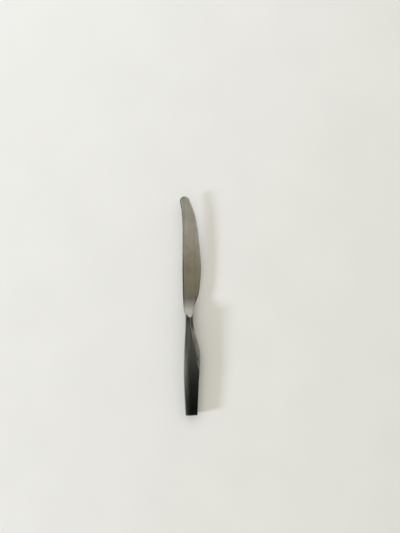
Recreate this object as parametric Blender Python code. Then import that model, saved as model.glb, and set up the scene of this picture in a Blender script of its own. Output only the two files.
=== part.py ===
"""Dinner knife with a hollow steel handle, for Blender 4.5. Metres, +Z up.

Every piece is drawn in the knife's own frame and then laid down with the others:
Y runs from the butt to the tip, X from the spine to the cutting edge, and Z stands
square to the blade, with zero on the plane that halves the blade and the handle.
"""

import math
from typing import NamedTuple

import bmesh
import bpy
from mathutils import Matrix, Vector

# Lengths along the knife, from the butt
HANDLE_LENGTH = 0.0923
BLADE_LENGTH = 0.1129
GRIP_PLACE = 0.030           # how far the handle's edge side runs straight from the butt
BELLY_PLACE = 0.054          # where the handle is widest towards the edge
PALM_PLACE = 0.040           # where it is widest towards the spine
FACET_END_PLACE = 0.038      # where the finger facet has faded into the rounded side

# Handle outline: reach from the axis towards the spine and towards the edge
BUTT_SPINE = 0.0049
PALM_SPINE = 0.00635
NECK_SPINE = 0.0044
BUTT_EDGE = 0.0066
GRIP_EDGE = 0.0078
BELLY_EDGE = 0.0091
NECK_EDGE = 0.00205

# Handle thickness: its two broad faces are flat and draw together towards butt and edge
BUTT_HALF = 0.0041           # half thickness on the axis at the butt
NECK_HALF = 0.0051           # and at the neck
FACE_TILT = math.radians(5.5)
SPINE_SIDE = 0.0003          # plan width of the rounded side along the spine
EDGE_SIDE = 0.0003           # and along the edge
BUTT_CROWN = 0.0066          # plan width of the crown that turns the face down to the spine side
NECK_CROWN = 0.0036
BUTT_CROWN_TILT = math.radians(20)
PALM_CROWN_TILT = math.radians(25)
NECK_CROWN_TILT = math.radians(27)
PLAIN_FACET_WIDTH = 0.0002   # plan width of the finger facet near the butt, where it has faded out
FACET_WIDTH = 0.0045         # and at the belly, where it is a soft roll
NECK_FACET_WIDTH = 0.0012    # and at the neck, where it is flat and leaves a ridge
FACET_TILT = math.radians(27)
NECK_FACET_TILT = math.radians(40)
BUTT_ROUND = 0.0010

# Handle shells and how they are joined
WALL = 0.0009
SEAM = 0.0003                # gap between the two pressed halves
FIT = 0.0003                 # clearance between any two pieces that touch
BRAZE_RADIUS = 0.0003
BRAZE_BEND = 0.0018          # bend radius of the braze bead at the corners of the butt

# Blade outline: places from the joint, with the reach towards spine and edge
COLLAR_PLACE = 0.0020        # end of the collar, which carries on the neck's outline
COLLAR_SPINE = 0.0045
COLLAR_EDGE = 0.0021
SHOULDER_PLACE = 0.0037      # end of the small shoulder behind the blade's spine
SHOULDER_SPINE = 0.0055
SHOULDER_EDGE = 0.0024
CHOIL_PLACE = 0.0065         # end of the narrow root
CHOIL_SPINE = 0.0062
CHOIL_EDGE = 0.0028
HEEL_PLACE = 0.0237
HEEL_SPINE = 0.0072
HEEL_EDGE = 0.0082
BROAD_PLACE = 0.0460         # where the blade is broadest
BROAD_SPINE = 0.00745
BROAD_EDGE = 0.0099
SLIM_PLACE = 0.0800          # where the edge has begun to sweep back
SLIM_SPINE = 0.00725
SLIM_EDGE = 0.0071
SWEEP_PLACE = 0.0975         # where the spine turns out into the tip
SWEEP_SPINE = 0.0080
SWEEP_EDGE = 0.0036
TIP_RADIUS = 0.0045
TIP_LEAN = 0.0053            # reach of the tip's centre towards the spine
TIP_SPINE_JOIN = math.radians(-10)   # where the tip's round end takes over from the spine
TIP_EDGE_JOIN = math.radians(18)     # and from the edge
TIP_LAST = math.radians(84)          # where the round end stops in a narrow flat

# Blade section and root
ROOT_THICKNESS = 0.0023
TIP_THICKNESS = 0.0012
SPINE_ROUND = 0.0006
BEVEL = 0.0011               # width of the ground edge
BEVEL_THICKNESS = 0.0007
EDGE_THICKNESS = 0.00025
EDGE_LIP = 0.00006
TIP_SHARE = 0.35             # most of the width that a bevel or rounding may take at the tip
SCOOP_LENGTH = 0.0175        # hollow that sweeps up from the blade to the neck
BOLSTER_EASE = 3             # how soon on the rise the blade's corners turn into the bolster's
LEAST_FOOT = 0.9             # height of the facet's foot where the hollow cuts into the side below it
LEAST = 0.0001               # smallest width that a curved stretch is drawn in to

# Spigot and tang, forged with the blade
SPIGOT_LENGTH = 0.0080
SPIGOT_TAPER = 0.0005
TANG_LENGTH = 0.0550
TANG_OFFSET = -0.0007
TANG_WIDTH = 0.0024
TANG_HEIGHT = 0.0046
TANG_END_WIDTH = 0.0022
TANG_END_HEIGHT = 0.0030
TANG_CORNER = 0.0004

SIDE_STEPS = 3
CROWN_STEPS = 4
FACET_STEPS = 3
HANDLE_STATIONS = 26
BLADE_STATIONS = 24
SCOOP_STATIONS = 14
TIP_STATIONS = 8
ROUND_STATIONS = 4
SHARP = math.radians(25)     # edges that turn by more than this are shaded sharp

QUARTER = math.pi / 2
FACE_SLOPE = (NECK_HALF - BUTT_HALF) / HANDLE_LENGTH
TILT_SLOPE = math.tan(FACE_TILT)
KNIFE_LENGTH = HANDLE_LENGTH + BLADE_LENGTH
SPIGOT_END = HANDLE_LENGTH - SPIGOT_LENGTH
CEMENT_END = SPIGOT_END - FIT
TIP_CENTRE = KNIFE_LENGTH - TIP_RADIUS
PALM_PLACES = (0, PALM_PLACE, HANDLE_LENGTH)


class Section(NamedTuple):
    """Half of a cross section, above the middle plane.

    From the spine it runs up a rounded side, over a crown that turns into the flat face, over
    the crest into a facet, and down a rounded side to the edge. Each curve leaves and arrives
    along two lines, and the section keeps the height where they meet.
    """

    spine: float       # reach from the axis towards the spine
    edge: float        # reach from the axis towards the edge
    side: float        # plan width of the spine side
    wall: float        # where the lines of the spine side meet
    shoulder: float    # half thickness between the spine side and the crown
    crown: float       # plan width from the spine to the end of the crown
    brow: float        # where the lines of the crown meet
    top: float         # half thickness between the crown and the flat face
    facet: float       # plan width from the crest to the edge
    crest: float       # half thickness between the flat face and the facet
    swell: float       # where the lines of the facet meet
    foot: float        # half thickness between the facet and the edge side
    lip: float         # plan width of the edge side

    def face_slope(self):
        return (self.crest - self.top) / (self.spine + self.edge - self.crown - self.facet)


def mix(start, end, share):
    return start + (end - start) * share


def spread(start, end, steps):
    """Evenly spaced places from start to end, with both ends."""
    return [mix(start, end, i / steps) for i in range(steps + 1)]


def smooth(knots, place):
    """The value at a place on a smooth line through (place, value) knots, never past them."""
    slopes = [(b[1] - a[1]) / (b[0] - a[0]) for a, b in zip(knots, knots[1:])]
    turns = [slopes[0]]
    for before, after in zip(slopes, slopes[1:]):
        turns.append(2 * before * after / (before + after) if before * after > 0 else 0.0)
    turns.append(slopes[-1])
    place = min(max(place, knots[0][0]), knots[-1][0])
    i = max(k for k in range(len(slopes)) if knots[k][0] <= place)
    (start, low), (end, high) = knots[i], knots[i + 1]
    t = (place - start) / (end - start)
    level = low * (1 + 2 * t) * (1 - t) ** 2 + high * t * t * (3 - 2 * t)
    return level + (end - start) * t * (1 - t) * (turns[i] * (1 - t) - turns[i + 1] * t)


def face_height(x, y):
    """Half thickness of the handle under its flat broad face."""
    return BUTT_HALF + FACE_SLOPE * y - TILT_SLOPE * x


def handle_section(y):
    """The handle's outside at a place along it. Past the neck it runs on unchanged."""
    past = HANDLE_LENGTH + SPIGOT_LENGTH
    y = min(y, HANDLE_LENGTH)
    edge_places = (0, GRIP_PLACE, BELLY_PLACE, HANDLE_LENGTH, past)
    edge = smooth(list(zip(edge_places, (BUTT_EDGE, GRIP_EDGE, BELLY_EDGE, NECK_EDGE, NECK_EDGE))), y)
    spine = smooth(list(zip(PALM_PLACES, (BUTT_SPINE, PALM_SPINE, NECK_SPINE))), y)
    return handle_profile(spine, edge, y)


def handle_profile(spine, edge, y):
    """The handle's outside at a place along it, over given reaches."""
    tilts = (BUTT_CROWN_TILT, PALM_CROWN_TILT, NECK_CROWN_TILT)
    crown_slope = math.tan(smooth(list(zip(PALM_PLACES, tilts)), y)) - TILT_SLOPE
    crown = mix(BUTT_CROWN, NECK_CROWN, y / HANDLE_LENGTH)
    half_crown = (crown - SPINE_SIDE) / 2
    top = face_height(crown - spine, y)
    # Crown and facet roll out of the face at the belly and turn into flats towards the neck
    towards_neck = max((y - BELLY_PLACE) / (HANDLE_LENGTH - BELLY_PLACE), 0)
    brow = top + mix(TILT_SLOPE, -crown_slope, towards_neck) * half_crown
    shoulder = brow - crown_slope * half_crown
    facet_places = (0, FACET_END_PLACE, BELLY_PLACE, HANDLE_LENGTH)
    widths = (PLAIN_FACET_WIDTH, PLAIN_FACET_WIDTH, FACET_WIDTH, NECK_FACET_WIDTH)
    width = smooth(list(zip(facet_places, widths)), y)
    facet_slope = math.tan(mix(FACET_TILT, NECK_FACET_TILT, towards_neck))
    crest = face_height(edge - EDGE_SIDE - width, y)
    swell = crest - (TILT_SLOPE + facet_slope * towards_neck) * width / 2
    foot = swell - (TILT_SLOPE + facet_slope) * width / 2
    return Section(
        spine,
        edge,
        side=SPINE_SIDE,
        wall=shoulder - crown_slope * SPINE_SIDE,
        shoulder=shoulder,
        crown=crown,
        brow=brow,
        top=top,
        facet=EDGE_SIDE + width,
        crest=crest,
        swell=swell,
        foot=foot,
        lip=EDGE_SIDE,
    )


def on_curve(start, corner, end, t):
    """A point on a curve from start to end that leaves and arrives along the lines to the corner."""
    return mix(mix(start, corner, t), mix(corner, end, t), t)


def sink(depth, rise, run):
    """How far down a sloping surface lies at an even depth below another."""
    return depth * math.hypot(rise, run) / run


def inset(section, depth):
    """The section drawn in by an even depth, or let out where the depth is negative."""
    slope = section.face_slope()
    side = max(section.side - depth, LEAST)
    lip = max(section.lip - depth, LEAST)
    crown = max(section.crown - depth, side + LEAST)
    facet = max(section.facet - depth, lip + LEAST)
    past_crown = crown + depth - section.crown
    before_crest = facet + depth - section.facet
    top = section.top + slope * past_crown - sink(depth, slope, 1)
    crest = section.crest - slope * before_crest - sink(depth, slope, 1)
    # The new crown starts part of the way along the old one
    half_crown = (section.crown - section.side) / 2
    start = min((side + depth - section.side) / half_crown / 2, 1)
    rise = mix(section.brow - section.shoulder, section.top - section.brow, start)
    shoulder = on_curve(section.shoulder, section.brow, section.top, start) - sink(depth, rise, half_crown)
    brow = top - (section.top - section.brow) / half_crown * (crown - side) / 2
    wall = shoulder - 2 * side * (brow - shoulder) / (crown - side)
    # The new facet ends part of the way along the old one
    half_facet = (section.facet - section.lip) / 2
    end = max(1 - (lip + depth - section.lip) / half_facet / 2, 0)
    fall = mix(section.swell - section.crest, section.foot - section.swell, end)
    foot = on_curve(section.crest, section.swell, section.foot, end) - sink(depth, fall, half_facet)
    foot = min(foot, crest + slope * (facet - lip))
    return Section(
        section.spine - depth,
        section.edge - depth,
        side=side,
        wall=max(wall, shoulder / 2),
        shoulder=shoulder,
        crown=crown,
        brow=brow,
        top=top,
        facet=facet,
        crest=crest,
        swell=(crest + foot) / 2,
        foot=foot,
        lip=lip,
    )


def bent(start, corner, end, steps):
    """Points on a curve from start to end that leaves and arrives along the lines to the corner."""
    return [on_curve(start, corner, end, t) for t in spread(0, 1, steps)]


def upper_outline(section):
    """(x, z) points over the top of a section, from the spine side to the edge side."""
    spine, edge = section.spine, section.edge
    shoulder = Vector((section.side - spine, section.shoulder))
    brow = Vector(((section.side + section.crown) / 2 - spine, section.brow))
    top = Vector((section.crown - spine, section.top))
    crest = Vector((edge - section.facet, section.crest))
    swell = Vector((edge - (section.facet + section.lip) / 2, section.swell))
    foot = Vector((edge - section.lip, section.foot))
    fall = (swell.y - foot.y) / (foot.x - swell.x)
    knee = Vector((edge, max(foot.y - fall * section.lip, foot.y / 2)))
    points = bent(Vector((-spine, 0)), Vector((-spine, section.wall)), shoulder, SIDE_STEPS)
    points += bent(shoulder, brow, top, CROWN_STEPS)[1:]
    points += bent(crest, swell, foot, FACET_STEPS)
    points += bent(foot, knee, Vector((edge, 0)), SIDE_STEPS)[1:]
    return points


def ring(section, y):
    upper = upper_outline(section)
    lower = [(x, -z) for x, z in reversed(upper[1:-1])]
    return [(x, y, z) for x, z in upper + lower]


def half_ring(section, y, side):
    """The ring's half on one side of the seam, which it stops just short of."""
    return [(x, y, side * max(z, SEAM / 2)) for x, z in upper_outline(section)]


def blade_reach(y):
    """How far the blade reaches from the axis towards the spine and the edge."""
    knots = (
        (0, NECK_SPINE, NECK_EDGE),
        (COLLAR_PLACE, COLLAR_SPINE, COLLAR_EDGE),
        (SHOULDER_PLACE, SHOULDER_SPINE, SHOULDER_EDGE),
        (CHOIL_PLACE, CHOIL_SPINE, CHOIL_EDGE),
        (HEEL_PLACE, HEEL_SPINE, HEEL_EDGE),
        (BROAD_PLACE, BROAD_SPINE, BROAD_EDGE),
        (SLIM_PLACE, SLIM_SPINE, SLIM_EDGE),
        (SWEEP_PLACE, SWEEP_SPINE, SWEEP_EDGE),
    )
    reaches = []
    for column, lean, join in ((1, TIP_LEAN, TIP_SPINE_JOIN), (2, -TIP_LEAN, TIP_EDGE_JOIN)):
        join_place = TIP_CENTRE + TIP_RADIUS * math.sin(join)
        if y > join_place:
            reaches.append(lean + math.sqrt(max(TIP_RADIUS**2 - (y - TIP_CENTRE) ** 2, 0)))
        else:
            line = [(HANDLE_LENGTH + knot[0], knot[column]) for knot in knots]
            line.append((join_place, lean + TIP_RADIUS * math.cos(join)))
            reaches.append(smooth(line, y))
    return reaches


def scoop_share(y):
    """How far the hollow has risen from the blade's face, 0, to the neck, 1, along a round arc."""
    rise = NECK_HALF - ROOT_THICKNESS / 2
    radius = (SCOOP_LENGTH**2 + rise**2) / (2 * rise)
    run = max(SCOOP_LENGTH - (y - HANDLE_LENGTH), 0)
    return (radius - math.sqrt(radius**2 - run**2)) / rise


def rise_through_zero(square, single, constant):
    """The share t, up to 1, where square * t^2 + single * t + constant rises through zero."""
    root = math.sqrt(max(single * single - 4 * square * constant, 0))
    return min(-2 * constant / (single + root), 1)


def cut_down(section, height, slope):
    """The section with everything taken off above a line of a height on the axis and a slope."""
    at_spine = height - slope * section.spine
    at_side = at_spine + slope * section.side
    if at_side < section.shoulder:
        square = section.shoulder - 2 * section.wall - slope * section.side
        t = rise_through_zero(square, 2 * section.wall, -at_spine)
        side = section.side * t * t
        wall = section.wall * t
        shoulder = at_spine + slope * side
        crown = side + LEAST
        brow = shoulder + slope * LEAST / 2
    else:
        square = section.shoulder - 2 * section.brow + section.top
        single = 2 * (section.brow - section.shoulder) - slope * (section.crown - section.side)
        t = rise_through_zero(square, single, section.shoulder - at_side)
        side, wall, shoulder = section.side, section.wall, section.shoulder
        crown = max(mix(section.side, section.crown, t), side + LEAST)
        brow = mix(section.shoulder, section.brow, t)
    at_edge = height + slope * section.edge
    above_foot = max(at_edge - slope * section.facet - section.foot, 0)
    facet = mix(section.lip + LEAST, section.facet, min(above_foot / (section.crest - section.foot), 1))
    crest = at_edge - slope * facet
    foot = min(section.foot, crest * LEAST_FOOT)
    return section._replace(
        side=side,
        wall=wall,
        shoulder=shoulder,
        crown=crown,
        brow=brow,
        top=at_spine + slope * crown,
        facet=facet,
        crest=crest,
        swell=(crest + foot) / 2,
        foot=foot,
    )


def wedge_section(y, spine, edge):
    """The blade's own section: a wedge with a rounded spine and a ground edge."""
    most = TIP_SHARE * (spine + edge)
    half = mix(ROOT_THICKNESS, TIP_THICKNESS, (y - HANDLE_LENGTH) / BLADE_LENGTH) / 2
    rounding = min(SPINE_ROUND, most)
    bevel = min(BEVEL, most)
    crest = BEVEL_THICKNESS / 2
    foot = EDGE_THICKNESS / 2
    fall = (half - crest) * rounding / (spine + edge - rounding - bevel)
    return Section(
        spine,
        edge,
        side=rounding,
        wall=half,
        shoulder=half,
        crown=2 * rounding,
        brow=half - fall / 2,
        top=half - fall,
        facet=bevel,
        crest=crest,
        swell=(crest + foot) / 2,
        foot=foot,
        lip=EDGE_LIP,
    )


def blade_section(y):
    """The blade's wedge, growing at the root into the neck's section, cut down by the hollow."""
    spine, edge = blade_reach(y)
    wedge = wedge_section(y, spine, edge)
    share = scoop_share(y)
    slope = mix(wedge.face_slope(), -TILT_SLOPE, share)
    height = mix(wedge.top + wedge.face_slope() * (spine - wedge.crown), NECK_HALF, share)
    bolster = cut_down(handle_profile(spine, edge, HANDLE_LENGTH), height, slope)
    ease = 1 - (1 - share) ** BOLSTER_EASE
    merged = Section(*(mix(thin, thick, ease) for thin, thick in zip(wedge, bolster)))

    def hollow_height(from_spine):
        return height + slope * (from_spine - spine)

    # The crown hangs below the hollow's line as far as the bolster's does
    under_side = hollow_height(bolster.side) - bolster.shoulder
    under_brow = hollow_height((bolster.side + bolster.crown) / 2) - bolster.brow
    return merged._replace(
        shoulder=hollow_height(merged.side) - ease * under_side,
        brow=hollow_height((merged.side + merged.crown) / 2) - ease * under_brow,
        top=hollow_height(merged.crown),
        crest=hollow_height(spine + edge - merged.facet),
    )


def tang_section(y):
    share = (HANDLE_LENGTH - y) / TANG_LENGTH
    half_width = mix(TANG_WIDTH, TANG_END_WIDTH, share) / 2
    half_height = mix(TANG_HEIGHT, TANG_END_HEIGHT, share) / 2
    return Section(
        half_width - TANG_OFFSET,
        half_width + TANG_OFFSET,
        side=TANG_CORNER,
        wall=half_height,
        shoulder=half_height,
        crown=2 * TANG_CORNER,
        brow=half_height,
        top=half_height,
        facet=2 * TANG_CORNER,
        crest=half_height,
        swell=half_height,
        foot=half_height,
        lip=TANG_CORNER,
    )


def loft(name, rings):
    """A closed skin over rings of points, with both ends capped."""
    skin = bmesh.new()
    rows = [[skin.verts.new(point) for point in points] for points in rings]
    for row, following in zip(rows, rows[1:]):
        for a in range(len(row)):
            b = (a + 1) % len(row)
            skin.faces.new((row[a], row[b], following[b], following[a]))
    skin.faces.new(rows[0])
    skin.faces.new(rows[-1])
    bmesh.ops.recalc_face_normals(skin, faces=skin.faces)
    mesh = bpy.data.meshes.new(name)
    skin.to_mesh(mesh)
    skin.free()
    mesh.shade_smooth()
    mesh.set_sharp_from_angle(angle=SHARP)
    return bpy.data.objects.new(name, mesh)


def finish(name, colour, roughness, metallic=1.0):
    material = bpy.data.materials.new(name)
    material.use_nodes = True
    shader = material.node_tree.nodes["Principled BSDF"]
    shader.inputs["Base Color"].default_value = (*colour, 1.0)
    shader.inputs["Roughness"].default_value = roughness
    shader.inputs["Metallic"].default_value = metallic
    return material


def place_part(obj, material):
    obj.data.materials.append(material)
    obj.parent = at_rest
    parts.objects.link(obj)
    return obj


def place_cutter(obj):
    obj.parent = at_rest
    obj.hide_render = True
    obj.display_type = "WIRE"
    cutters.objects.link(obj)
    return obj


def cut(obj, cutter):
    modifier = obj.modifiers.new("cut_" + cutter.name, "BOOLEAN")
    modifier.operation = "DIFFERENCE"
    modifier.object = cutter


def closed_butt(make_ring, depth):
    """Rings at a depth below the handle's outside that turn its sides over into the flat butt."""
    radius = max(BUTT_ROUND - depth, FIT)
    rings = []
    for angle in spread(0, QUARTER, ROUND_STATIONS):
        y = depth + radius * (1 - math.cos(angle))
        rings.append(make_ring(inset(handle_section(y), depth + radius * (1 - math.sin(angle))), y))
    return rings


def handle_half(name, side):
    """One pressed half of the handle, closed at the butt and open along the seam and at the mouth."""

    def make_ring(section, y):
        return half_ring(section, y, side)

    rings = closed_butt(make_ring, 0)
    for y in spread(BUTT_ROUND, HANDLE_LENGTH - FIT / 2, HANDLE_STATIONS)[1:]:
        rings.append(make_ring(handle_section(y), y))
    return loft(name, rings)


def handle_fill(name, depth, end):
    """The space inside the handle at a depth below its outside, from the butt to a far end."""
    rings = closed_butt(ring, depth)
    for y in spread(rings[-1][0][1], end, HANDLE_STATIONS)[1:]:
        rings.append(ring(inset(handle_section(y), depth), y))
    return loft(name, rings)


def blade_forging():
    """Blade, scooped bolster, spigot and tang in one piece, ringed from the tip back."""
    rings = []
    for angle in spread(TIP_LAST, TIP_EDGE_JOIN, TIP_STATIONS)[:-1]:
        y = TIP_CENTRE + TIP_RADIUS * math.sin(angle)
        rings.append(ring(blade_section(y), y))
    scoop_end = HANDLE_LENGTH + SCOOP_LENGTH
    for y in spread(TIP_CENTRE + TIP_RADIUS * math.sin(TIP_EDGE_JOIN), scoop_end, BLADE_STATIONS)[:-1]:
        rings.append(ring(blade_section(y), y))
    root = HANDLE_LENGTH + FIT / 2
    for y in spread(scoop_end, root, SCOOP_STATIONS):
        rings.append(ring(blade_section(y), y))
    mouth = inset(handle_section(HANDLE_LENGTH), WALL + FIT)
    rings.append(ring(mouth, root))
    rings.append(ring(inset(mouth, SPIGOT_TAPER), SPIGOT_END))
    for y in (SPIGOT_END, HANDLE_LENGTH - TANG_LENGTH):
        rings.append(ring(tang_section(y), y))
    return loft("blade", rings)


def tang_slot():
    """The room that the tang takes in the cement, out past the cement's front."""
    ends = (HANDLE_LENGTH - TANG_LENGTH - FIT, SPIGOT_END + FIT)
    return loft("tang_slot", [ring(inset(tang_section(y), -FIT), y) for y in ends])


def braze_path():
    """Points along the inside of the seam: down the spine side, round the butt, up the edge side."""
    depth = WALL + FIT + BRAZE_RADIUS
    bend_end = depth + BRAZE_BEND
    places = spread(CEMENT_END - FIT - BRAZE_RADIUS, bend_end, HANDLE_STATIONS)
    spine_side = [(-inset(handle_section(y), depth).spine, y) for y in places]
    edge_side = [(inset(handle_section(y), depth).edge, y) for y in reversed(places)]
    bend = []
    for turn in spread(0, QUARTER, ROUND_STATIONS):
        bend.append((BRAZE_BEND * (1 - math.cos(turn)), bend_end - BRAZE_BEND * math.sin(turn)))
    spine_bend = [(spine_side[-1][0] + x, y) for x, y in bend[1:]]
    edge_bend = [(edge_side[0][0] - x, y) for x, y in reversed(bend[1:])]
    return spine_side + spine_bend + edge_bend + edge_side


def bead(name, radius):
    """A round bead along the seam."""
    curve = bpy.data.curves.new(name, "CURVE")
    curve.dimensions = "3D"
    curve.bevel_depth = radius
    curve.bevel_resolution = 1
    curve.use_fill_caps = True
    path = braze_path()
    spline = curve.splines.new("POLY")
    spline.points.add(len(path) - 1)
    for point, (x, y) in zip(spline.points, path):
        point.co = (x, y, 0, 1)
    return bpy.data.objects.new(name, curve)


def as_mesh(obj):
    """The same object as a closed mesh, so that it can cut."""
    parts.objects.link(obj)
    graph = bpy.context.evaluated_depsgraph_get()
    mesh = bpy.data.meshes.new_from_object(obj.evaluated_get(graph))
    name = obj.name
    bpy.data.objects.remove(obj)
    weld = bmesh.new()
    weld.from_mesh(mesh)
    bmesh.ops.remove_doubles(weld, verts=weld.verts, dist=FIT / 100)
    bmesh.ops.recalc_face_normals(weld, faces=weld.faces)
    weld.to_mesh(mesh)
    weld.free()
    return bpy.data.objects.new(name, mesh)


def lay_down(empty):
    """Turns the knife so that the handle's lower broad face lies flat, its middle on the origin."""
    up = Vector((-TILT_SLOPE, FACE_SLOPE, 1)).normalized()
    across = Vector((0, 1, 0)).cross(up).normalized()
    turn = Matrix((across, up.cross(across), up))
    y = HANDLE_LENGTH / 2
    section = handle_section(y)
    x = (section.edge - section.facet + section.crown - section.spine) / 2
    empty.matrix_world = turn.to_4x4() @ Matrix.Translation((-x, -y, face_height(x, y)))


for old in list(bpy.data.objects):
    bpy.data.objects.remove(old)

parts = bpy.data.collections.new("dinner_knife")
cutters = bpy.data.collections.new("cutters")
for collection in (parts, cutters):
    bpy.context.scene.collection.children.link(collection)
at_rest = bpy.data.objects.new("at_rest", None)
parts.objects.link(at_rest)
lay_down(at_rest)

satin_blade_steel = finish("satin_blade_steel", (0.47, 0.45, 0.40), 0.32)
satin_handle_steel = finish("satin_handle_steel", (0.42, 0.41, 0.38), 0.30)
silver_braze = finish("silver_braze", (0.62, 0.58, 0.48), 0.45)
handle_cement = finish("handle_cement", (0.42, 0.38, 0.32), 0.9, metallic=0.0)

place_part(blade_forging(), satin_blade_steel)

hollow = place_cutter(handle_fill("hollow", WALL, HANDLE_LENGTH + SPIGOT_LENGTH))
for half_name, half_side in (("handle_half_upper", 1), ("handle_half_lower", -1)):
    cut(place_part(handle_half(half_name, half_side), satin_handle_steel), hollow)

place_part(bead("seam_braze", BRAZE_RADIUS), silver_braze)

cement = place_part(handle_fill("tang_cement", WALL + FIT, CEMENT_END), handle_cement)
cut(cement, place_cutter(tang_slot()))
cut(cement, place_cutter(as_mesh(bead("braze_channel", BRAZE_RADIUS + FIT))))
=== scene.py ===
"""Looks of a hollow-handled dinner knife, laid out as an add-on and run as a script. Lengths are metres.

Each piece is drawn in the knife's own frame and then laid down with the others: Y runs from the butt to
the tip, X from the spine to the cutting edge, and Z stands square to the blade, with zero on the plane
that halves the blade and the handle.
"""

import math
from typing import NamedTuple

import bmesh
import bpy
from mathutils import Matrix, Vector


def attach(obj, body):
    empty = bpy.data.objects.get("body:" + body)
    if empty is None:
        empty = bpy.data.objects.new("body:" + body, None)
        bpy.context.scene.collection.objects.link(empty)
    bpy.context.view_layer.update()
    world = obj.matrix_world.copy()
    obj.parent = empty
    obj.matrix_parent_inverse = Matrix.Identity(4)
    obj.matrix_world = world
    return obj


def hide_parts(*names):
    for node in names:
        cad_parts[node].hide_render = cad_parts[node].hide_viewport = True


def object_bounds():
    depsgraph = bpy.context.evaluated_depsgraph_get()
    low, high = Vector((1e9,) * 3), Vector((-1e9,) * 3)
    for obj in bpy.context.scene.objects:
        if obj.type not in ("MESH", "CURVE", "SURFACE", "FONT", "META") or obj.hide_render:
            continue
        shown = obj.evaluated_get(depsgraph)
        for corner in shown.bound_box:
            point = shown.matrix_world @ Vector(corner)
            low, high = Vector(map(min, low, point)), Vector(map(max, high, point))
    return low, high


bl_info = {
    "name": "Dinner Knife",
    "version": (1, 0, 0),
    "blender": (4, 5, 0),
    "location": "3D View > Sidebar > Knife",
    "description": "Adds a satin steel dinner knife with a hollow handle, on a pale table",
    "category": "Add Mesh",
}

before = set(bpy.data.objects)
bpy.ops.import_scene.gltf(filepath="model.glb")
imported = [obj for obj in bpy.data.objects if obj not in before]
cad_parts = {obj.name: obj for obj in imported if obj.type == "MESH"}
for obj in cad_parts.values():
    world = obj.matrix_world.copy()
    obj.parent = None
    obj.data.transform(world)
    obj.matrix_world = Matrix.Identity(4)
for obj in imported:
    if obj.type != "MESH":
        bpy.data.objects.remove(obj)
CAD_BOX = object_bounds()

QUARTER = math.pi / 2
MM = 0.001

# How finely the surfaces are drawn
SIDE_STEPS = 10
CROWN_STEPS = 12
FACE_STEPS = 8
CORNER_STEPS = 4
FACET_STEPS = 8
BUTT_STATIONS = 12
HANDLE_STATIONS = 110
TIP_STATIONS = 30
BLADE_STATIONS = 100
SCOOP_STATIONS = 64
ROOT_STATIONS = 4
BEAD_SIDES = 12
BEAD_STEP = 0.25                # length of a ring along the bead, as a share of the lumps' spacing
RIM_SEGMENTS = 2
SHARP = math.radians(32)        # edges that turn by more than this are shaded sharp
RIM_ANGLE = math.radians(55)    # edges that turn by more than this count as rims
TIP_LAST = math.radians(89)     # where the tip's round end stops in a narrow flat
TABLE_GAP = 0.00002             # keeps the table top just clear of the handle's face

# Shares and limits that shape the cross sections
TIP_SHARE = 0.30        # most of the width that a bevel or rounding may take at the tip
BOLSTER_EASE = 3        # how soon on the rise the blade's corners turn into the bolster's
MOST_FOOT = 0.9         # most of the crest's height that the facet's foot keeps under the hollow
LEAST = 0.0001          # smallest width that a curved stretch is drawn in to
MOST_SOFT = 0.4         # most of the stretches beside a crest that its rounding may take

BLADE_LINE = (
    # place from the joint, reach towards the spine, reach towards the edge
    (0.0020, 0.0045, 0.0021),      # end of the collar
    (0.0037, 0.0055, 0.0024),      # end of the shoulder
    (0.0065, 0.0062, 0.0028),      # choil
    (0.0237, 0.0072, 0.0082),      # heel
    (0.0460, 0.00745, 0.0099),     # where the blade is broadest
    (0.0800, 0.00725, 0.0071),     # where the edge has begun to sweep back
    (0.0975, 0.0080, 0.0036),      # where the spine turns out into the tip
)

# Where painted shade darkens the steel, and where it is rubbed bright, partly as a painted highlight
DARKEST_PAINTED_SHADE = 0.12     # how dark painted shade makes the steel at its darkest
SIDE_PAINTED_SHADE = 0.75        # how far painted shade darkens the narrow sides
HOLLOW_PAINTED_SHADE = 2         # how soon on the rise of the hollow painted shade darkens the facet beside it
CROWN_SHADE_FADE = 4          # how late on the crown the painted shade gives way to the plain brushed face
WEAR_AND_HIGHLIGHT_REACH = 0.032      # how far down from the joint the ridge is rubbed bright, partly as a painted highlight
# Places, and how far painted shade darkens the steel there: down from the joint on the handle's crown and
# facet, up from the joint along the blade's spine
CROWN_PAINTED_SHADE = ((0.0, 0.012, 0.022, 0.046), (0.4, 0.57, 0.72, 0.0))
FACET_PAINTED_SHADE = ((0.0, 0.006, 0.013, 0.022, 0.034), (1.0, 0.85, 0.1, 0.5, 0.0))
SPINE_PAINTED_SHADE = ((0.0, 0.012, 0.044, 0.062), (0.5, 0.9, 0.8, 0.0))

# Tints along the handle's neck: some tarnish, and painted shade that darkens the steel more and more towards
# the joint
NECK_SHADE_AND_TARNISH = (
    # place from the joint, tint there
    (-0.0300, "bare"),
    (-0.0125, "neck_shade_and_tarnish"),
    (-0.0010, "joint_shade_and_tarnish"),
)
BLADE_TARNISH = (
    # place from the end of the hollow, tint there
    (-0.003, "hollow_tarnish"),
    (0.004, "root_tarnish"),
    (0.030, "root_tarnish"),
    (0.045, "bare"),
    (0.066, "bare"),
    (0.078, "tip_tarnish"),
)

STREAK_DARK = 0.14      # how much a streak of the brushing darkens the steel
STREAK_LIGHT = 0.10     # how much it brightens it
HAIR_SMOOTH = 0.05      # how much a fine brush mark takes off the roughness
HAIR_ROUGH = 0.06       # how much it adds to it
STAIN_ROUGH = 0.1       # how much a stain adds to it
SCRATCH_DEPTH = 0.6     # depth of a scratch beside the height of a brush mark
NOISE_SPAN = {"From Min": 0.3, "From Max": 0.7}     # values that a noise hardly leaves
MIX_A, MIX_B, MIX_RESULT = 6, 7, 2      # a Mix node's colour sockets


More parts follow.
